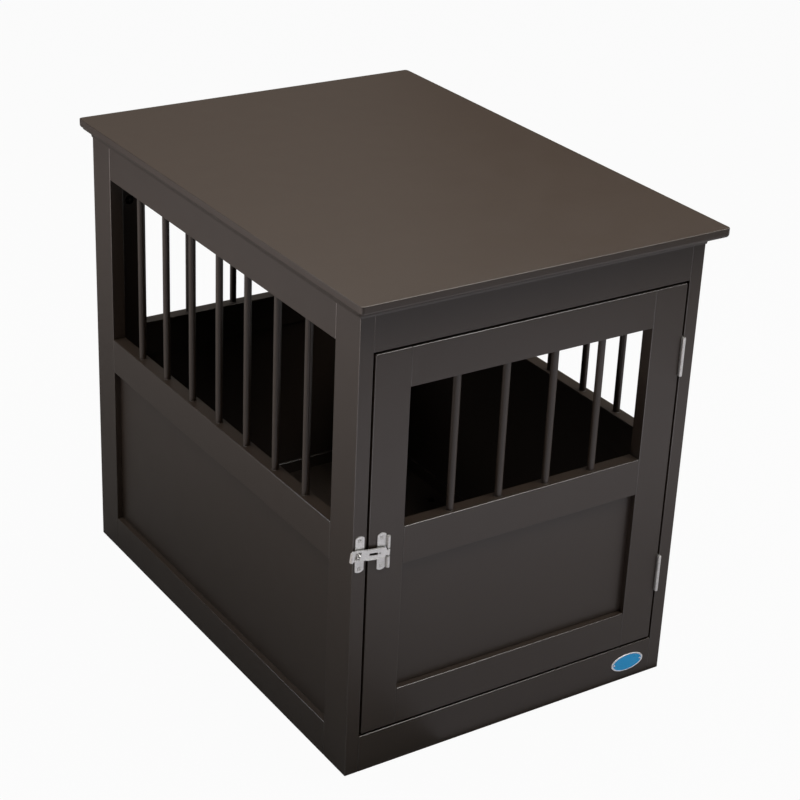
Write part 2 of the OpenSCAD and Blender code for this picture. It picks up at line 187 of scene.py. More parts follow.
class CrateStage(PropertyGroup):
    """Camera, floor and light"""

    floor: FloatVectorProperty(
        name="Floor",
        description="Colour that the floor gives back onto the crate",
        subtype="COLOR",
        default=(0.22, 0.22, 0.22),
        min=0,
        max=1,
    )
    overhead: FloatProperty(
        name="Overhead light",
        description="Power of the wide softbox above the crate",
        default=63,
        min=0,
        max=1000,
        unit="POWER",
    )
    key: FloatProperty(
        name="Key light",
        description="Power of the softbox high at the front right, which lights the arrises",
        default=16,
        min=0,
        max=1000,
        unit="POWER",
    )
    side: FloatProperty(
        name="Side light",
        description="Power of the softbox on the right",
        default=5.8,
        min=0,
        max=1000,
        unit="POWER",
    )
    rear: FloatProperty(
        name="Rear light",
        description="Power of the softbox at the rear left",
        default=6.2,
        min=0,
        max=1000,
        unit="POWER",
    )
    front_card: FloatProperty(
        name="Front card",
        description="Power of the bright card on the floor in front",
        default=4.4,
        min=0,
        max=100,
        unit="POWER",
    )
    left_card: FloatProperty(
        name="Left card",
        description="Power of the bright card on the floor at the left",
        default=48.5,
        min=0,
        max=200,
        unit="POWER",
    )
    lens: FloatProperty(
        name="Lens",
        description="Focal length of the camera",
        default=90.35,
        min=10,
        max=300,
        unit="CAMERA",
    )


# ---------------------------------------------------------------- places from the frame


def corners(node):
    """A CAD node's lowest and highest corner, as arrays."""
    low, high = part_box(node)
    return np.array(low), np.array(high)


# ---------------------------------------------------------------- surfaces


def grid_faces(rows, cols, wrap=False):
    """Quads of a grid of rows by cols points, in row order. wrap joins the last column
    to the first."""
    r = np.arange(rows - 1)[:, None]
    c = np.arange(cols if wrap else cols - 1)[None, :]
    across = (c + 1) % cols
    quads = np.stack(
        [r * cols + c, r * cols + across, (r + 1) * cols + across, (r + 1) * cols + c], -1
    )
    return quads.reshape(-1, 4)


def capped_grid(rows, cols):
    """Faces of a wrapped grid, turned outwards, with its first row and its last row closed by
    one face each."""
    sides = grid_faces(rows, cols, wrap=True)[:, ::-1].tolist()
    last = range(rows * cols - 1, (rows - 1) * cols - 1, -1)
    return [*sides, list(range(cols)), list(last)]


def welded(points, quads, normals):
    """Merges points that coincide, and keeps one normal for each."""
    keys = np.round(points / 1e-7).astype(np.int64)
    _, first, again = np.unique(keys, axis=0, return_index=True, return_inverse=True)
    return points[first], again.reshape(-1)[quads], normals[first]


def eased_box(low, high, ease):
    """A box whose edges are rounded to the radius ease. Every point p of the plain box is
    pulled towards c, the nearest point of the box that is smaller by ease all round, to
    stand at the distance ease from it: c + ease * (p - c) / |p - c|."""
    low, high = np.array(low, float), np.array(high, float)
    steps = 3  # faces over half of each rounded edge
    ease = min(ease, 0.49 * (high - low).min())
    swing = ease * (1 - np.tan(np.linspace(pi / 4, 0, steps + 1)))
    lines = [np.concatenate([low[i] + swing, high[i] - swing[::-1]]) for i in range(3)]
    points, quads, count = [], [], 0
    for axis in range(3):
        u, v = (axis + 1) % 3, (axis + 2) % 3
        gu, gv = np.meshgrid(lines[u], lines[v], indexing="ij")
        for side in (0, 1):
            face = np.empty(gu.shape + (3,))
            face[..., u], face[..., v] = gu, gv
            face[..., axis] = high[axis] if side else low[axis]
            faces = grid_faces(*gu.shape)
            quads.append((faces[:, ::-1] if side else faces) + count)
            points.append(face.reshape(-1, 3))
            count += gu.size
    plain = np.concatenate(points)
    core = np.clip(plain, low + ease, high - ease)
    out = plain - core
    normals = out / np.linalg.norm(out, axis=1, keepdims=True)
    return welded(core + ease * normals, np.concatenate(quads), normals)


def lathe(profile, base, along, segments):
    """A profile of (radius, distance) pairs turned round the axis through base. A point at
    the angle a is base + distance * axis + radius * (cos a, sin a) across the axis. The
    profile runs up the axis, and each end is closed by a fan round one point on the axis."""
    profile = np.array(profile, float)
    axis = np.array(along, float)
    side = np.cross(axis, [0.0, 0.0, 1.0] if abs(axis[2]) < 0.9 else [1.0, 0.0, 0.0])
    side /= np.linalg.norm(side)
    other = np.cross(axis, side)
    a = np.linspace(0, 2 * pi, segments, endpoint=False)
    ring = np.cos(a)[:, None] * side + np.sin(a)[:, None] * other
    turned = profile[1:-1]
    points = (
        np.array(base)
        + turned[:, 1, None, None] * axis
        + turned[:, 0, None, None] * ring[None]
    )
    poles = np.array(base) + profile[[0, -1], 1, None] * axis
    faces = grid_faces(len(turned), segments, wrap=True).tolist()
    foot = len(turned) * segments
    c = np.arange(segments)
    faces += fan(foot, c[::-1])
    faces += fan(foot + 1, foot - segments + c)
    return np.concatenate([points.reshape(-1, 3), poles]), faces


def fan(middle, ring):
    """Triangles from a middle point to a ring of points, in the ring's order."""
    return np.stack([np.full(len(ring), middle), ring, np.roll(ring, -1)], 1).tolist()


def joined(parts):
    """Several (points, faces) as one."""
    points, faces, count = [], [], 0
    for p, f in parts:
        faces += [[i + count for i in face] for face in f]
        points.append(p)
        count += len(p)
    return np.concatenate(points), faces


def arc(centre, radius, start, end, steps):
    """Points on a circle in the plane, from the angle start to end, in degrees."""
    a = np.radians(np.linspace(start, end, steps + 1))
    return np.stack([centre[0] + radius * np.cos(a), centre[1] + radius * np.sin(a)], 1)


def rounded_slab(low, high, upper, lower, turn):
    """The table top, as a grid of (edge, angle). The edge is a list of (inset, height): a
    quarter circle of the radius upper from the flat above to the side, then one of the radius
    lower to the flat below. The point at the angle a is the centre of its corner
    + (turn - inset) * (cos a, sin a). Its normal is that of the quarter circle, and each flat
    is one face."""
    steps_above, steps_below, corner_points = 6, 8, 9
    edge = np.concatenate([
        arc((upper, high[2] - upper), upper, 90, 180, steps_above),
        arc((lower, low[2] + lower), lower, 180, 270, steps_below),
    ])
    tilt = np.radians(np.concatenate([
        np.linspace(90, 0, steps_above + 1), np.linspace(0, -90, steps_below + 1),
    ]))[:, None]
    quarter = np.repeat(np.arange(4), corner_points)
    a = np.radians(90 * quarter + np.tile(np.linspace(0, 90, corner_points), 4))
    right, back = np.where(np.isin(quarter, (0, 3)), 1, -1), np.where(quarter < 2, 1, -1)
    middle = (low + high)[:2] / 2
    reach = (high - low)[:2] / 2 - turn
    pull = turn - edge[:, 0, None]
    points = np.empty((len(edge), len(a), 3))
    points[..., 0] = middle[0] + right * reach[0] + pull * np.cos(a)
    points[..., 1] = middle[1] + back * reach[1] + pull * np.sin(a)
    points[..., 2] = edge[:, 1, None]
    normals = np.empty_like(points)
    normals[..., 0] = np.cos(tilt) * np.cos(a)
    normals[..., 1] = np.cos(tilt) * np.sin(a)
    normals[..., 2] = np.sin(tilt)
    faces = capped_grid(len(edge), len(a))
    return points.reshape(-1, 3), faces, normals.reshape(-1, 3)


def moulding_outline(out, tall):
    """The moulding's section, as (outward, height) points. From the wall it steps out to a
    hollow, an arc whose radius is 0.8 of its chord, then to an upright band with round
    corners. The arc's centre stands on the chord's square line, sqrt(radius^2 - (chord / 2)^2)
    away from its middle."""
    step, band, corner = 0.8 * MM, 4 * MM, 0.6 * MM
    span = np.array([out - 2 * step, tall - band])
    chord = np.linalg.norm(span)
    radius = 0.8 * chord
    away = np.sqrt(radius**2 - (chord / 2) ** 2)
    centre = np.array([step, 0]) + span / 2
    centre += away * np.array([span[1], -span[0]]) / chord
    first = np.degrees(np.arctan2(-centre[1], step - centre[0]))
    last = np.degrees(np.arctan2(span[1] - centre[1], step + span[0] - centre[0]))
    return np.concatenate([
        [[0, 0]],
        arc(centre, radius, first % 360, last % 360, 10),
        arc((out - corner, tall - band + corner), corner, 270, 360, 3),
        arc((out - corner, tall - corner), corner, 0, 90, 3),
        [[0, tall]],
    ])


def mitred_length(outline, start, along, length, foot):
    """A section carried along a wall. Its point (d, h) runs from start + d * (outward - along)
    to start + length * along + d * (outward + along), at the height foot + h, so that both
    ends are cut at 45 degrees."""
    along = np.array(along, float)
    outward = np.array([along[1], -along[0]])
    out = outline[:, 0]
    ends = np.stack([-out, length + out])
    points = np.empty((2, len(outline), 3))
    points[..., :2] = np.array(start) + ends[..., None] * along + out[:, None] * outward
    points[..., 2] = foot + outline[:, 1]
    return points.reshape(-1, 3), capped_grid(2, len(outline))


def bar_profile(radius, low, foot, head, high):
    """Half of a bar's outline, as (radius, height) points from low to high. Paint widens it
    where it meets the rails, at the heights foot and head: at the share t of the fillet's
    height away from the rail it adds fillet * (1 - sqrt(1 - (1 - t)^2))."""
    fillet = 0.7 * MM
    rise = np.linspace(0, 1, 6)
    flare = fillet * (1 - np.sqrt(1 - (1 - rise) ** 2))
    return np.concatenate([
        [[0, low], [radius, low], [radius, foot - fillet]],
        np.stack([radius + flare, foot + rise * fillet], 1),
        np.stack([radius + flare[::-1], head - fillet + rise * fillet], 1),
        [[radius, head + fillet], [radius, high], [0, high]],
    ])


def screw_surface(centre, outward, head, shank, length):
    """A countersunk screw with a shallow dome, a cross recess and a chamfered rim. The
    head's face is a grid of (ring, angle). Its height is dome * (1 - q^2)
    - recess * ramp(x / wide) * ramp(y / arm), or the same with x and y changed over,
    whichever is deeper, for q = ring / head. ramp falls from 1 to 0 as its value passes 1
    either way. Outside q = flat a straight chamfer is taken off. Cone, shank and tip are
    the face's rim carried down the axis."""
    wide, arm, dome = 0.13 * head, 0.62 * head, 0.12 * head
    recess, chamfer, flat = 0.3 * head, 0.16 * head, 0.8
    axis = np.array(outward, float)
    side = np.cross(axis, [0.0, 0.0, 1.0])
    other = np.cross(axis, side)
    a = np.linspace(0, 2 * pi, 48, endpoint=False)
    q = np.linspace(0, 1, 15)[1:, None] ** 0.9
    x, y = q * head * np.cos(a), q * head * np.sin(a)

    def ramp(t):
        return np.clip((1.25 - np.abs(t)) / 0.5, 0, 1)

    cross = np.maximum(ramp(x / wide) * ramp(y / arm), ramp(y / wide) * ramp(x / arm))
    edge = np.clip((q - flat) / (1 - flat), 0, 1)
    face = dome * (1 - q**2) - recess * cross - chamfer * edge
    # below the face, as (radius, height): under the rim, the shank's two ends and the tip
    below = np.array([
        [0.97 * head, -0.2 * head], [shank, shank - head], [shank, shank - length],
        [0.3 * shank, -length],
    ])
    around = np.ones_like(a)
    radius = np.concatenate([q * head * around, below[:, :1] * around])
    height = np.concatenate([face, below[:, 1:] * around])
    points = (
        np.array(centre)
        + height[..., None] * axis
        + (radius * np.cos(a))[..., None] * side
        + (radius * np.sin(a))[..., None] * other
    )
    count, rows = len(a), len(radius)
    faces = grid_faces(rows, count, wrap=True)[:, ::-1].tolist()
    ring = np.arange(count)
    faces += fan(rows * count, ring)
    faces += fan(rows * count + 1, (rows - 1) * count + ring[::-1])
    middle_of_cross = np.array(centre) + (dome - recess) * axis
    tip = np.array(centre) - (length + 0.1 * MM) * axis
    return np.concatenate([points.reshape(-1, 3), [middle_of_cross, tip]]), faces


def oval_dish(low, high):
    """A dish inside a raised rim, as a grid of (row, angle). Each row of the section holds a
    share of the half axes, a rise over the back and how much of it is rim. The point at the
    angle a is the middle + share * (half_x * cos a, half_z * sin a), and it stands
    rise * thick in front of the back. Returns the points, the faces and the rim mask."""
    middle, half = (low + high) / 2, (high - low) / 2
    thick = high[1] - low[1]
    section = np.array([
        [0.02, 0.86, 0], [0.3, 0.84, 0], [0.55, 0.8, 0], [0.75, 0.74, 0], [0.86, 0.7, 0],
        [0.905, 0.72, 0.5], [0.92, 0.9, 1], [0.935, 0.98, 1], [0.955, 1.0, 1],
        [0.975, 0.95, 1], [0.99, 0.8, 1], [1.0, 0.55, 1], [1.0, 0.0, 1], [0.02, 0.0, 1],
    ])
    a = np.linspace(0, 2 * pi, 72, endpoint=False)
    share, rise, mask = (section[:, i, None] for i in range(3))
    points = np.empty((len(section), len(a), 3))
    points[..., 0] = middle[0] + share * half[0] * np.cos(a)
    points[..., 1] = high[1] - rise * thick
    points[..., 2] = middle[2] + share * half[2] * np.sin(a)
    return points.reshape(-1, 3), capped_grid(len(section), len(a)), np.repeat(mask, len(a))


# ---------------------------------------------------------------- meshes


def new_piece(name, points, faces, material, body, replaces, slot):
    """Makes the mesh object, gives it its material and ties it to the frame."""
    mesh = bpy.data.meshes.new(name)
    mesh.from_pydata(np.asarray(points).tolist(), [], [list(f) for f in faces])
    mesh.validate()
    mesh.materials.append(material)
    piece = bpy.data.objects.new(name, mesh)
    bpy.context.scene.collection.objects.link(piece)
    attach(piece, body)
    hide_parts(*replaces)
    return piece


def soften(piece, angle):
    """Smooth shading that keeps edges sharper than the angle, in degrees."""
    piece.data.shade_smooth()
    piece.data.set_sharp_from_angle(angle=radians(angle))


def exact_normals(piece, normals):
    """Shades the piece with the surface's own normals, so that flats stay flat."""
    piece.data.shade_smooth()
    piece.data.normals_split_custom_set_from_vertices(normals)


def edge_mask(piece, normals, most=1.0):
    """Stores how rounded each point is, from 0 on a flat up to most in the middle of an
    arris, where the normal leans by 45 degrees."""
    middle = 1 - cos(pi / 4)
    tilt = most * (1 - np.abs(normals).max(axis=1)) / middle
    layer = piece.data.attributes.new("arris", "FLOAT", "POINT")
    layer.data.foreach_set("value", tilt.clip(0, 1).astype(np.float32))


# ---------------------------------------------------------------- materials


def new_material(name):
    """An empty node material and its shader."""
    material = bpy.data.materials.new(name)
    material.use_nodes = True
    return material, material.node_tree.nodes["Principled BSDF"]


def add_node(tree, kind, **values):
    """A node with its settings and plain input values."""
    node = tree.nodes.new(kind)
    for key, value in values.items():
        if key in node.inputs:
            node.inputs[key].default_value = value
        else:
            setattr(node, key, value)
    return node


def link(tree, source, target):
    """Joins an output socket to an input."""
    tree.links.new(source, target)


def math(tree, operation, a, b):
    """A math node on two sockets or numbers."""
    node = add_node(tree, "ShaderNodeMath", operation=operation)
    for socket, value in zip(node.inputs, (a, b)):
        if isinstance(value, (int, float)):
            socket.default_value = value
        else:
            link(tree, value, socket)
    return node.outputs[0]


def mixed(tree, factor, low, high):
    """A colour between low and high, which are colours or sockets."""
    node = add_node(tree, "ShaderNodeMix", data_type="RGBA")
    link(tree, factor, node.inputs["Factor"])
    for label, value in (("A", low), ("B", high)):
        if isinstance(value, bpy.types.NodeSocket):
            link(tree, value, node.inputs[label])
        else:
            node.inputs[label].default_value = (*[min(c, 1.0) for c in value], 1)
    return node.outputs["Result"]


def shades(colour, spread):
    """A darker and a lighter shade of a colour."""
    return [c * (1 - spread) for c in colour], [c * (1 + spread) for c in colour]


def effect_group(name, inputs, outputs):
    """An empty node group with float or vector inputs and float outputs."""
    group = bpy.data.node_groups.new(name, "ShaderNodeTree")
    for label, value in inputs.items():
        kind = "NodeSocketVector" if isinstance(value, tuple) else "NodeSocketFloat"
        group.interface.new_socket(label, in_out="INPUT", socket_type=kind).default_value = value
    for label in outputs:
        group.interface.new_socket(label, in_out="OUTPUT", socket_type="NodeSocketFloat")
    return group, add_node(group, "NodeGroupInput"), add_node(group, "NodeGroupOutput")


def group_noise(group, coords, scale, detail):
    """Noise inside a group, with its scale from a socket."""
    node = add_node(group, "ShaderNodeTexNoise", Detail=detail)
    link(group, coords, node.inputs["Vector"])
    link(group, scale, node.inputs["Scale"])
    return node.outputs["Fac"]


def mottle_group():
    """Cloudy tone round 0.5 that Contrast widens. It varies with place on the object."""
    name = "mottle"
    if name in bpy.data.node_groups:
        return bpy.data.node_groups[name]
    group, enter, leave = effect_group(name, {"Scale": 100.0, "Contrast": 1.0}, ["Tone"])
    coords = add_node(group, "ShaderNodeTexCoord").outputs["Object"]
    cloud = group_noise(group, coords, enter.outputs["Scale"], 3.0)
    swing = math(group, "MULTIPLY", math(group, "SUBTRACT", cloud, 0.5), enter.outputs["Contrast"])
    link(group, math(group, "ADD", swing, 0.5), leave.inputs["Tone"])
    return group


def streaks_group():
    """Lines of grain or rolling: noise on coordinates that Stretch scales axis by axis."""
    name = "streaks"
    if name in bpy.data.node_groups:
        return bpy.data.node_groups[name]
    inputs = {"Scale": 900.0, "Stretch": (1.0, 1.0, 1.0)}
    group, enter, leave = effect_group(name, inputs, ["Height"])
    stretch = add_node(group, "ShaderNodeMapping")
    link(group, add_node(group, "ShaderNodeTexCoord").outputs["Object"], stretch.inputs["Vector"])
    link(group, enter.outputs["Stretch"], stretch.inputs["Scale"])
    lines = group_noise(group, stretch.outputs["Vector"], enter.outputs["Scale"], 3.5)
    link(group, lines, leave.inputs["Height"])
    return group


def orange_peel_group():
    """Skin of a sprayed coat: a fine orange peel and rare dust nibs."""
    name = "orange peel"
    if name in bpy.data.node_groups:
        return bpy.data.node_groups[name]
    rare, tall = 0.74, 0.6
    group, enter, leave = effect_group(name, {"Peel scale": 650.0, "Nib scale": 900.0}, ["Height"])
    coords = add_node(group, "ShaderNodeTexCoord").outputs["Object"]
    peel = group_noise(group, coords, enter.outputs["Peel scale"], 3.0)
    dust = group_noise(group, coords, enter.outputs["Nib scale"], 3.0)
    nibs = math(group, "MULTIPLY", math(group, "GREATER_THAN", dust, rare), tall)
    link(group, math(group, "ADD", peel, nibs), leave.inputs["Height"])
    return group


def rubbed_and_highlight_group():
    """Rubbed paint and a painted highlight along an arris: the arris mask broken up by patches."""
    name = "rubbed arris"
    if name in bpy.data.node_groups:
        return bpy.data.node_groups[name]
    inputs = {"Arris": 0.0, "Patch scale": 60.0, "Amount": 0.8}
    group, enter, leave = effect_group(name, inputs, ["Wear"])
    coords = add_node(group, "ShaderNodeTexCoord").outputs["Object"]
    patches = group_noise(group, coords, enter.outputs["Patch scale"], 4.0)
    # where the arris colour is lighter: rubbed paint, and also a painted highlight of the arris
    # glint
    wear_and_highlight = math(group, "MULTIPLY", enter.outputs["Arris"], patches)
    link(group, math(group, "MULTIPLY", wear_and_highlight, enter.outputs["Amount"]), leave.inputs["Wear"])
    return group


def placed(tree, group, **values):
    """A shared effect placed in a material with its own values."""
    node = add_node(tree, "ShaderNodeGroup", node_tree=group)
    for key, value in values.items():
        node.inputs[key.replace("_", " ")].default_value = value
    return node


def bumped(tree, shader, height, strength, distance):
    """Feeds a height to the shader's normal."""
    bump = add_node(tree, "ShaderNodeBump", Strength=strength, Distance=distance)
    link(tree, height, bump.inputs["Height"])
    link(tree, bump.outputs["Normal"], shader.inputs["Normal"])


def roughened(tree, shader, tone, low, high):
    """Roughness that follows a tone, from low to high. Returns its socket."""
    rough = math(tree, "ADD", math(tree, "MULTIPLY", tone, high - low), low)
    link(tree, rough, shader.inputs["Roughness"])
    return rough


def attribute(tree, name):
    """A number stored on the mesh."""
    return add_node(tree, "ShaderNodeAttribute", attribute_name=name).outputs["Fac"]


def paint_material():
    """Satin espresso paint: clouded colour, glossy arrises in a lighter colour that is partly
    rubbed paint and partly a painted highlight, and a faint orange peel.
    """
    name = "espresso paint"
    if name in bpy.data.materials:
        return bpy.data.materials[name]
    values = bpy.context.scene.crate_paint
    dull, polish = 0.03, 0.2  # swing of the roughness, and what the arrises take off it
    material, shader = new_material(name)
    tree = material.node_tree
    cloud = placed(tree, mottle_group(), Scale=9.0, Contrast=1.0).outputs["Tone"]
    patch = placed(tree, mottle_group(), Scale=25.0, Contrast=1.0).outputs["Tone"]
    arris = attribute(tree, "arris")
    wear_and_highlight = placed(tree, rubbed_and_highlight_group(), Patch_scale=60.0, Amount=0.8)
    link(tree, arris, wear_and_highlight.inputs["Arris"])
    tone = mixed(tree, cloud, *shades(values.colour, 0.04))
    # lighter colour on the arrises: rubbed paint, and a painted highlight of the glint along them
    link(tree, mixed(tree, wear_and_highlight.outputs["Wear"], tone, values.rubbed_and_highlight), shader.inputs["Base Color"])
    rough = roughened(tree, shader, patch, values.gloss - dull, values.gloss + dull)
    smoother = math(tree, "SUBTRACT", rough, math(tree, "MULTIPLY", arris, polish))
    link(tree, smoother, shader.inputs["Roughness"])
    link(tree, arris, shader.inputs["Coat Weight"])
    shader.inputs["Coat IOR"].default_value = 1.8
    shader.inputs["Coat Roughness"].default_value = 0.15
    skin = placed(tree, orange_peel_group(), Peel_scale=650.0, Nib_scale=900.0)
    bumped(tree, shader, skin.outputs["Height"], 0.1, 0.12 * MM)
    return material


def zinc_material():
    """Bright zinc plate: fine rolling lines, spangled lustre and a few dull spots."""
    name = "zinc plate"
    if name in bpy.data.materials:
        return bpy.data.materials[name]
    values = bpy.context.scene.crate_metal
    material, shader = new_material(name)
    tree = material.node_tree
    spangle = placed(tree, mottle_group(), Scale=700.0, Contrast=2.2).outputs["Tone"]
    lines = placed(tree, streaks_group(), Scale=4200.0, Stretch=(1.0, 1.0, 0.06)).outputs["Height"]
    link(tree, mixed(tree, spangle, *shades(values.zinc, 0.2)), shader.inputs["Base Color"])
    shader.inputs["Metallic"].default_value = values.metallic
    roughened(tree, shader, spangle, 0.34, 0.5)
    bumped(tree, shader, lines, 0.25, 0.03 * MM)
    return material


def beech_material():
    """Bare beech: straight grain with short flecks, for the glued dowels."""
    name = "bare beech"
    if name in bpy.data.materials:
        return bpy.data.materials[name]
    material, shader = new_material(name)
    tree = material.node_tree
    grain = placed(tree, streaks_group(), Scale=900.0, Stretch=(0.08, 0.08, 1.0)).outputs["Height"]
    beech = mixed(tree, grain, (0.42, 0.26, 0.14), (0.66, 0.46, 0.28))
    link(tree, beech, shader.inputs["Base Color"])
    roughened(tree, shader, grain, 0.5, 0.7)
    bumped(tree, shader, grain, 0.3, 0.1 * MM)
    return material


def badge_material():
    """Blank enamelled badge: azure dish, pale polished rim."""
    name = "badge enamel"
    if name in bpy.data.materials:
        return bpy.data.materials[name]
    values = bpy.context.scene.crate_metal
    material, shader = new_material(name)
    tree = material.node_tree
    cloud = placed(tree, mottle_group(), Scale=300.0, Contrast=1.0).outputs["Tone"]
    enamel = mixed(tree, cloud, *shades(values.badge, 0.12))
    rim = attribute(tree, "rim")
    link(tree, mixed(tree, rim, enamel, values.rim), shader.inputs["Base Color"])
    link(tree, math(tree, "MULTIPLY", rim, 0.3), shader.inputs["Metallic"])
    roughened(tree, shader, cloud, 0.18, 0.3)
    return material


# ---------------------------------------------------------------- pieces


def body_of(node):
    """The body that a CAD node rides on."""
    for body, nodes in frame["record"]["behaviour"]["bodies"].items():
        if node in nodes:
            return body
    raise KeyError(node)


def painted_box(node, low, high, ease):
    """A painted board between two corners, in place of a CAD node."""
    points, quads, normals = eased_box(low, high, ease)
    piece = new_piece(
        f"{node}_painted", points, quads, paint_material(), body_of(node), [node], "painted_wood"
    )
    exact_normals(piece, normals)
    edge_mask(piece, normals)


class CRATE_OT_boards(Operator):
    """Uprights and rails of the three fixed frames and the door, eased and painted"""

    bl_idname = "crate.boards"
    bl_label = "Add Boards"

    def execute(self, context):
        ease = context.scene.crate_shape.ease
        for node in frame["nodes"]:
            if node.endswith(("_stile", "_rail")):
                painted_box(node, *corners(node), ease)
        return {"FINISHED"}


class CRATE_OT_infill(Operator):
    """Flat infill panels and the floor board"""

    bl_idname = "crate.infill"
    bl_label = "Add Infill Panels"

    def execute(self, context):
        sawn = 0.4 * MM
        for node in ("left_panel", "right_panel", "rear_panel", "door_panel", "floor_board"):
            painted_box(node, *corners(node), sawn)
        return {"FINISHED"}


class CRATE_OT_top(Operator):
    """Table top with rounded edges"""

    bl_idname = "crate.top"
    bl_label = "Add Table Top"

    def execute(self, context):
        shape = context.scene.crate_shape
        points, faces, normals = rounded_slab(
            *corners("top_board"), shape.top_upper, shape.top_lower, shape.top_corner
        )
        piece = new_piece(
            "top_board_painted", points, faces, paint_material(), "crate",
            ["top_board"], "painted_wood",
        )
        exact_normals(piece, normals)
        edge_mask(piece, normals, 0.2)
        return {"FINISHED"}


class CRATE_OT_moulding(Operator):
    """Four mitred lengths of hollow moulding under the top"""

    bl_idname = "crate.moulding"
    bl_label = "Add Moulding"

    def execute(self, context):
        low, high = corners("front_moulding")
        outline = moulding_outline(high[1] - low[1], high[2] - low[2])
        x0, y0, _ = corners("left_front_stile")[0]
        x1, y1, _ = corners("right_rear_stile")[1]
        for node, start, along, length in (
            ("front_moulding", (x0, y0), (1, 0), x1 - x0),
            ("right_moulding", (x1, y0), (0, 1), y1 - y0),
            ("rear_moulding", (x1, y1), (-1, 0), x1 - x0),
            ("left_moulding", (x0, y1), (0, -1), y1 - y0),
        ):
            surface = mitred_length(outline, start, along, length, low[2])
            piece = new_piece(f"{node}_painted", *surface, paint_material(), "crate",
                              [node], "painted_wood")
            soften(piece, 30)
        return {"FINISHED"}


class CRATE_OT_bars(Operator):
    """Round dowel bars, with a little paint built up where they enter the rails"""

    bl_idname = "crate.bars"
    bl_label = "Add Bars"

    def execute(self, context):
        segments = context.scene.crate_shape.bar_segments
        for side, count in (("left", 7), ("right", 7), ("rear", 4), ("door", 4)):
            node = f"{side}_bars"
            low, high = corners(node)
            foot, head = corners(f"{side}_mid_rail")[1][2], corners(f"{side}_top_rail")[0][2]
            row = int(high[1] - low[1] > high[0] - low[0])  # the axis that the row runs along
            radius = (high[1 - row] - low[1 - row]) / 2
            profile = bar_profile(radius, low[2], foot, head, high[2])
            bars = []
            for place in np.linspace(low[row] + radius, high[row] - radius, count):
                base = (low + high) / 2
                base[row], base[2] = place, 0
                bars.append(lathe(profile, base, (0, 0, 1), segments))
            piece = new_piece(f"{node}_painted", *joined(bars), paint_material(),
                              body_of(node), [node], "painted_wood")
            soften(piece, 40)
        return {"FINISHED"}


def eased_copy(node, width, name):
    """A zinc-plated copy of a CAD node's own shape, with its doubles merged, its flats made
    whole and its edges eased by a Bevel modifier."""
    smooth_below, eased_above = radians(32), radians(38)
    mesh = frame["nodes"][node].data.copy()
    mesh.name = name
    shape = bmesh.new()
    shape.from_mesh(mesh)
    bmesh.ops.remove_doubles(shape, verts=shape.verts, dist=0.002 * MM)
    bmesh.ops.dissolve_limit(
        shape, angle_limit=radians(1), verts=shape.verts, edges=shape.edges
    )
    shape.to_mesh(mesh)
    shape.free()
    if "custom_normal" in mesh.attributes:
        mesh.attributes.remove(mesh.attributes["custom_normal"])
    mesh.materials.clear()
    mesh.materials.append(zinc_material())
    piece = bpy.data.objects.new(name, mesh)
    bpy.context.scene.collection.objects.link(piece)
    mesh.shade_smooth()
    mesh.set_sharp_from_angle(angle=smooth_below)
    bevel = piece.modifiers.new("eased edges", "BEVEL")
    bevel.width = width
    bevel.segments = 2
    bevel.angle_limit = eased_above
    bevel.harden_normals = True
    weld = piece.modifiers.new("closed seams", "WELD")
    weld.merge_threshold = 0.001 * MM
    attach(piece, body_of(node))
    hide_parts(node)


def screws_piece(node, centres, outward, head, shank, length):
    """Every screw of a CAD node as one piece."""
    screws = [screw_surface(centre, outward, head, shank, length) for centre in centres]
    piece = new_piece(f"{node}_turned", *joined(screws), zinc_material(), body_of(node),
                      [node], "zinc_plate")
    soften(piece, 50)


class CRATE_OT_hinges(Operator):
    """Butt hinges: leaves with rolled knuckles, pins and countersunk screws"""

    bl_idname = "crate.hinges"
    bl_label = "Add Hinges"

    def execute(self, context):
        for node in ("hinge_frame_leaves", "hinge_door_leaves"):
            eased_copy(node, 0.16 * MM, f"{node}_rolled")
        tall, apart = 50 * MM, 26 * MM  # a hinge's height, and from screw to screw
        low, high = corners("hinge_pins")
        radius, rise = (high[0] - low[0]) / 2, 0.3 * MM
        dome = arc((0, -rise), rise, 90, 0, 3) * (radius / rise, 1)
        profile = np.concatenate([dome * (1, -1), (dome + (0, tall))[::-1]])
        x, y, _ = (low + high) / 2
        pins = [lathe(profile, (x, y, foot), (0, 0, 1), 24) for foot in (low[2], high[2] - tall)]
        piece = new_piece("hinge_pins_turned", *joined(pins), zinc_material(), "crate",
                          ["hinge_pins"], "zinc_plate")
        soften(piece, 50)
        head, shank, length = 2.4 * MM, 1.2 * MM, 13 * MM
        for node, turn in (("hinge_frame_screws", -1), ("hinge_door_screws", 1)):
            low, high = corners(node)
            x = low[0] if turn < 0 else high[0]
            y = (low[1] + high[1]) / 2
            foot, top = low[2] + head, high[2] - head
            centres = [(x, y, z) for z in (foot, foot + apart, top - apart, top)]
            screws_piece(node, centres, (turn, 0, 0), head, shank, length)
        return {"FINISHED"}


class CRATE_OT_hasp(Operator):
    """Hasp: keeper with its staple, base plate, pierced strap, pin and screws"""

    bl_idname = "crate.hasp"
    bl_label = "Add Hasp"

    def execute(self, context):
        for node in ("keeper_plate", "latch_base_plate", "latch_strap"):
            eased_copy(node, 0.22 * MM, f"{node}_pressed")
        head, shank, length = 2.6 * MM, 1.3 * MM, 13 * MM
        for node in ("keeper_screws", "latch_base_screws"):
            low, high = corners(node)
            x = (low[0] + high[0]) / 2
            centres = [(x, low[1], low[2] + head), (x, low[1], high[2] - head)]
            screws_piece(node, centres, (0, -1, 0), head, shank, length)
        return {"FINISHED"}


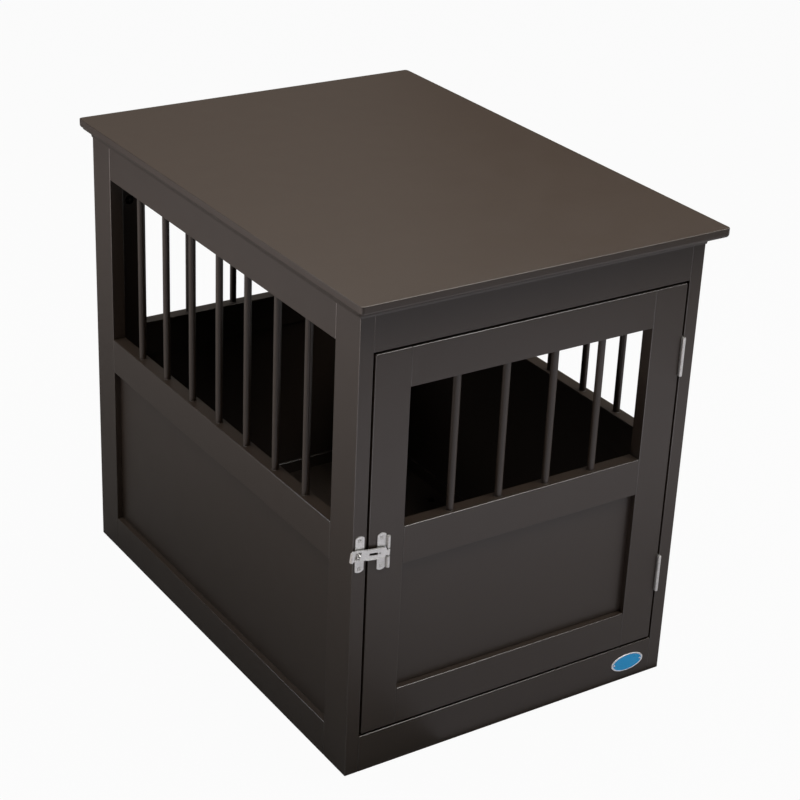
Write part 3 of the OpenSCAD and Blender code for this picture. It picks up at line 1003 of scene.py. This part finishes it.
class CRATE_OT_badge(Operator):
    """Blank oval badge: enamelled dish inside a raised rim, on two small pins"""

    bl_idname = "crate.badge"
    bl_label = "Add Badge"

    def execute(self, context):
        low, high = corners("badge")
        points, faces, mask = oval_dish(low, high)
        middle, half = (low + high) / 2, (high - low) / 2
        # the pins: domes on the dish, near the ends of the long axis
        radius, rise, foot = 1.2 * MM, 0.5 * MM, -0.3 * MM
        dome = arc((0, 0), 1.0, 0, 90, 6) * (radius, rise)
        profile = np.concatenate([[[0, foot], [radius, foot]], dome])
        y = high[1] - 0.72 * (high[1] - low[1])
        seats = [(middle[0] + side * 0.82 * half[0], y, middle[2]) for side in (-1, 1)]
        pins = [lathe(profile, seat, (0, -1, 0), 20) for seat in seats]
        mask = np.concatenate([mask, *[np.ones(len(p)) for p, _ in pins]])
        piece = new_piece("badge_enamelled", *joined([(points, faces), *pins]),
                          badge_material(), "crate", ["badge"], "badge_blue")
        soften(piece, 50)
        rim = piece.data.attributes.new("rim", "FLOAT", "POINT")
        rim.data.foreach_set("value", mask.astype(np.float32))
        return {"FINISHED"}


class CRATE_OT_fittings(Operator):
    """Finish of the fittings that keep their CAD shape"""

    bl_idname = "crate.fittings"
    bl_label = "Finish Fittings"

    def execute(self, context):
        slots = {s["node"]: s["material_slot"] for s in frame["record"]["subparts"]}
        finish = {"zinc_plate": zinc_material(), "beech": beech_material(),
                  "badge_blue": zinc_material(), "painted_wood": paint_material()}
        for node, piece in frame["nodes"].items():
            piece.data.materials.clear()
            piece.data.materials.append(finish[slots[node]])
        return {"FINISHED"}


class CRATE_OT_stage(Operator):
    """Pale floor, soft lights and camera"""

    bl_idname = "crate.stage"
    bl_label = "Add Stage"

    def execute(self, context):
        values = context.scene.crate_stage
        add_floor(values)
        add_lights(values)
        add_camera(values)
        return {"FINISHED"}


def add_floor(values):
    """A wide flat floor. It looks white, and gives back the light of a pale surface."""
    span = 30.0
    mesh = bpy.data.meshes.new("floor")
    mesh.from_pydata([(-span, -span, 0), (span, -span, 0), (span, span, 0), (-span, span, 0)],
                     [], [(0, 1, 2, 3)])
    floor = bpy.data.objects.new("floor", mesh)
    bpy.context.scene.collection.objects.link(floor)
    material, shader = new_material("pale floor")
    tree = material.node_tree
    shader.inputs["Base Color"].default_value = (*values.floor, 1)
    shader.inputs["Roughness"].default_value = 0.9
    shader.inputs["Specular IOR Level"].default_value = 0.0
    lit = add_node(tree, "ShaderNodeEmission", Strength=1.0)
    both = add_node(tree, "ShaderNodeMixShader", Fac=0.04)
    choice = add_node(tree, "ShaderNodeMixShader")
    path = add_node(tree, "ShaderNodeLightPath")
    link(tree, lit.outputs[0], both.inputs[1])
    link(tree, shader.outputs[0], both.inputs[2])
    link(tree, path.outputs["Is Camera Ray"], choice.inputs["Fac"])
    link(tree, shader.outputs[0], choice.inputs[1])
    link(tree, both.outputs[0], choice.inputs[2])
    link(tree, choice.outputs[0], tree.nodes["Material Output"].inputs["Surface"])
    mesh.materials.append(material)


def add_softbox(name, place, target, size, power, colour=(1, 1, 1)):
    """A rectangular area light that faces the target. size is across and along."""
    light = bpy.data.lights.new(name, "AREA")
    light.shape = "RECTANGLE"
    light.size, light.size_y = size
    light.energy = power
    light.color = colour
    lamp = bpy.data.objects.new(name, light)
    lamp.location = place
    lamp.rotation_euler = (Vector(target) - Vector(place)).to_track_quat("-Z", "Y").to_euler()
    bpy.context.scene.collection.objects.link(lamp)


def add_card(name, x0, x1, y0, y1, power, colour=(1, 1, 1)):
    """A bright card that lies on the floor and faces up, between two corners."""
    place = ((x0 + x1) / 2, (y0 + y1) / 2, 0.002)
    add_softbox(name, place, (place[0], place[1], 1), (x1 - x0, y1 - y0), power, colour)


def add_lights(values):
    """Softboxes above, at the right and behind, bright cards on the floor, a dim room."""
    warm, rosy, cool = (1.05, 1.0, 0.94), (1.16, 1.0, 0.95), (1.03, 1.0, 1.08)
    add_softbox("overhead", (0, -0.1, 2.2), (0, 0, 0.4), (2.2, 2.2), values.overhead, warm)
    add_softbox("key", (1.1, -1.29, 2.04), (0, -0.32, 0.35), (0.8, 0.8), values.key)
    add_softbox("side", (1.5, 0, 1.6), (0, 0, 0.6), (1.0, 1.0), values.side)
    add_softbox("rear", (-1.3, 0.8, 1.2), (-0.2, 0.1, 0.6), (0.8, 0.8), values.rear,
                (0.94, 1, 1.08))
    add_softbox("backdrop", (0.3, 2.2, 1.6), (0, 0, 0.6), (2.5, 1.6), 0.45 * values.rear, warm)
    add_card("front card", -1.0, 1.0, -1.35, -0.75, values.front_card, cool)
    add_card("near card", -0.1, 0.9, -0.75, -0.325, 0.08 * values.front_card, cool)
    add_card("left card", -3.4, -1.3, -1.4, 2.6, values.left_card, rosy)
    add_card("middle card", -1.3, -0.65, -0.75, 1.8, 0.025 * values.left_card, rosy)
    add_card("right card", 1.3, 3.4, -1.4, 2.6, 0.5 * values.left_card)
    add_card("rear card", -0.1, 1.9, 1.5, 3.6, 0.25 * values.left_card)
    world = bpy.data.worlds.new("room")
    bpy.context.scene.world = world
    world.use_nodes = True
    tree = world.node_tree
    room = tree.nodes["Background"]
    room.inputs["Color"].default_value = (1, 1, 1, 1)
    room.inputs["Strength"].default_value = 0.002
    white = add_node(tree, "ShaderNodeBackground", Strength=1.0)
    choice = add_node(tree, "ShaderNodeMixShader")
    path = add_node(tree, "ShaderNodeLightPath")
    link(tree, path.outputs["Is Camera Ray"], choice.inputs["Fac"])
    link(tree, room.outputs[0], choice.inputs[1])
    link(tree, white.outputs[0], choice.inputs[2])
    link(tree, choice.outputs[0], tree.nodes["World Output"].inputs["Surface"])


def add_camera(values):
    """The camera stands to the left in front of the crate and looks down on it. Its place is
    given from the body's lowest front left corner, and its shift is half a step of the view."""
    turn, pitch, roll = radians(-33.988), radians(25.965), radians(2.633)
    from_corner = Vector((-1.0356, -1.6170, 1.4276))
    half_step = 0.5 / IMAGE_SIDE
    place = Vector(corners("left_front_stile")[0]) + from_corner
    back = Vector((sin(turn) * cos(pitch), -cos(turn) * cos(pitch), sin(pitch)))
    right = (-back).cross(Vector((0, 0, 1))).normalized()
    up = right.cross(-back)
    level = (cos(roll) * right + sin(roll) * up, -sin(roll) * right + cos(roll) * up, back)
    camera = bpy.data.objects.new("camera", bpy.data.cameras.new("camera"))
    camera.matrix_world = Matrix.Translation(place) @ Matrix(level).transposed().to_4x4()
    camera.data.lens = values.lens
    camera.data.sensor_width = 36
    camera.data.shift_x = -half_step
    camera.data.shift_y = half_step
    bpy.context.scene.collection.objects.link(camera)
    bpy.context.scene.camera = camera
    bpy.context.scene.view_settings.view_transform = "Standard"


# ---------------------------------------------------------------- the add-on

GROUPS = {
    "crate_shape": CrateShape,
    "crate_paint": CratePaint,
    "crate_metal": CrateMetal,
    "crate_stage": CrateStage,
}
STEPS = (
    CRATE_OT_stage,
    CRATE_OT_fittings,
    CRATE_OT_boards,
    CRATE_OT_infill,
    CRATE_OT_top,
    CRATE_OT_moulding,
    CRATE_OT_bars,
    CRATE_OT_hinges,
    CRATE_OT_hasp,
    CRATE_OT_badge,
)


class CRATE_PT_sidebar(Panel):
    """Settings and steps in the 3D view's sidebar"""

    bl_idname = "CRATE_PT_sidebar"
    bl_label = "Pet Crate Table"
    bl_space_type = "VIEW_3D"
    bl_region_type = "UI"
    bl_category = "Pet Crate"

    def draw(self, context):
        for name, group in GROUPS.items():
            box = self.layout.box()
            for key in group.__annotations__:
                box.prop(getattr(context.scene, name), key)
        for step in STEPS:
            self.layout.operator(step.bl_idname)


def register():
    """Registers the classes and puts the settings on the scene."""
    for cls in (*GROUPS.values(), *STEPS, CRATE_PT_sidebar):
        bpy.utils.register_class(cls)
    for name, group in GROUPS.items():
        setattr(bpy.types.Scene, name, PointerProperty(type=group))


def unregister():
    """Takes the settings and the classes away again."""
    for name in GROUPS:
        delattr(bpy.types.Scene, name)
    for cls in (CRATE_PT_sidebar, *reversed(STEPS), *GROUPS.values()):
        bpy.utils.unregister_class(cls)


def main():
    """Runs every step in order."""
    register()
    for step in STEPS:
        group, name = step.bl_idname.split(".")
        getattr(getattr(bpy.ops, group), name)()


if __name__ == "__main__":
    main()
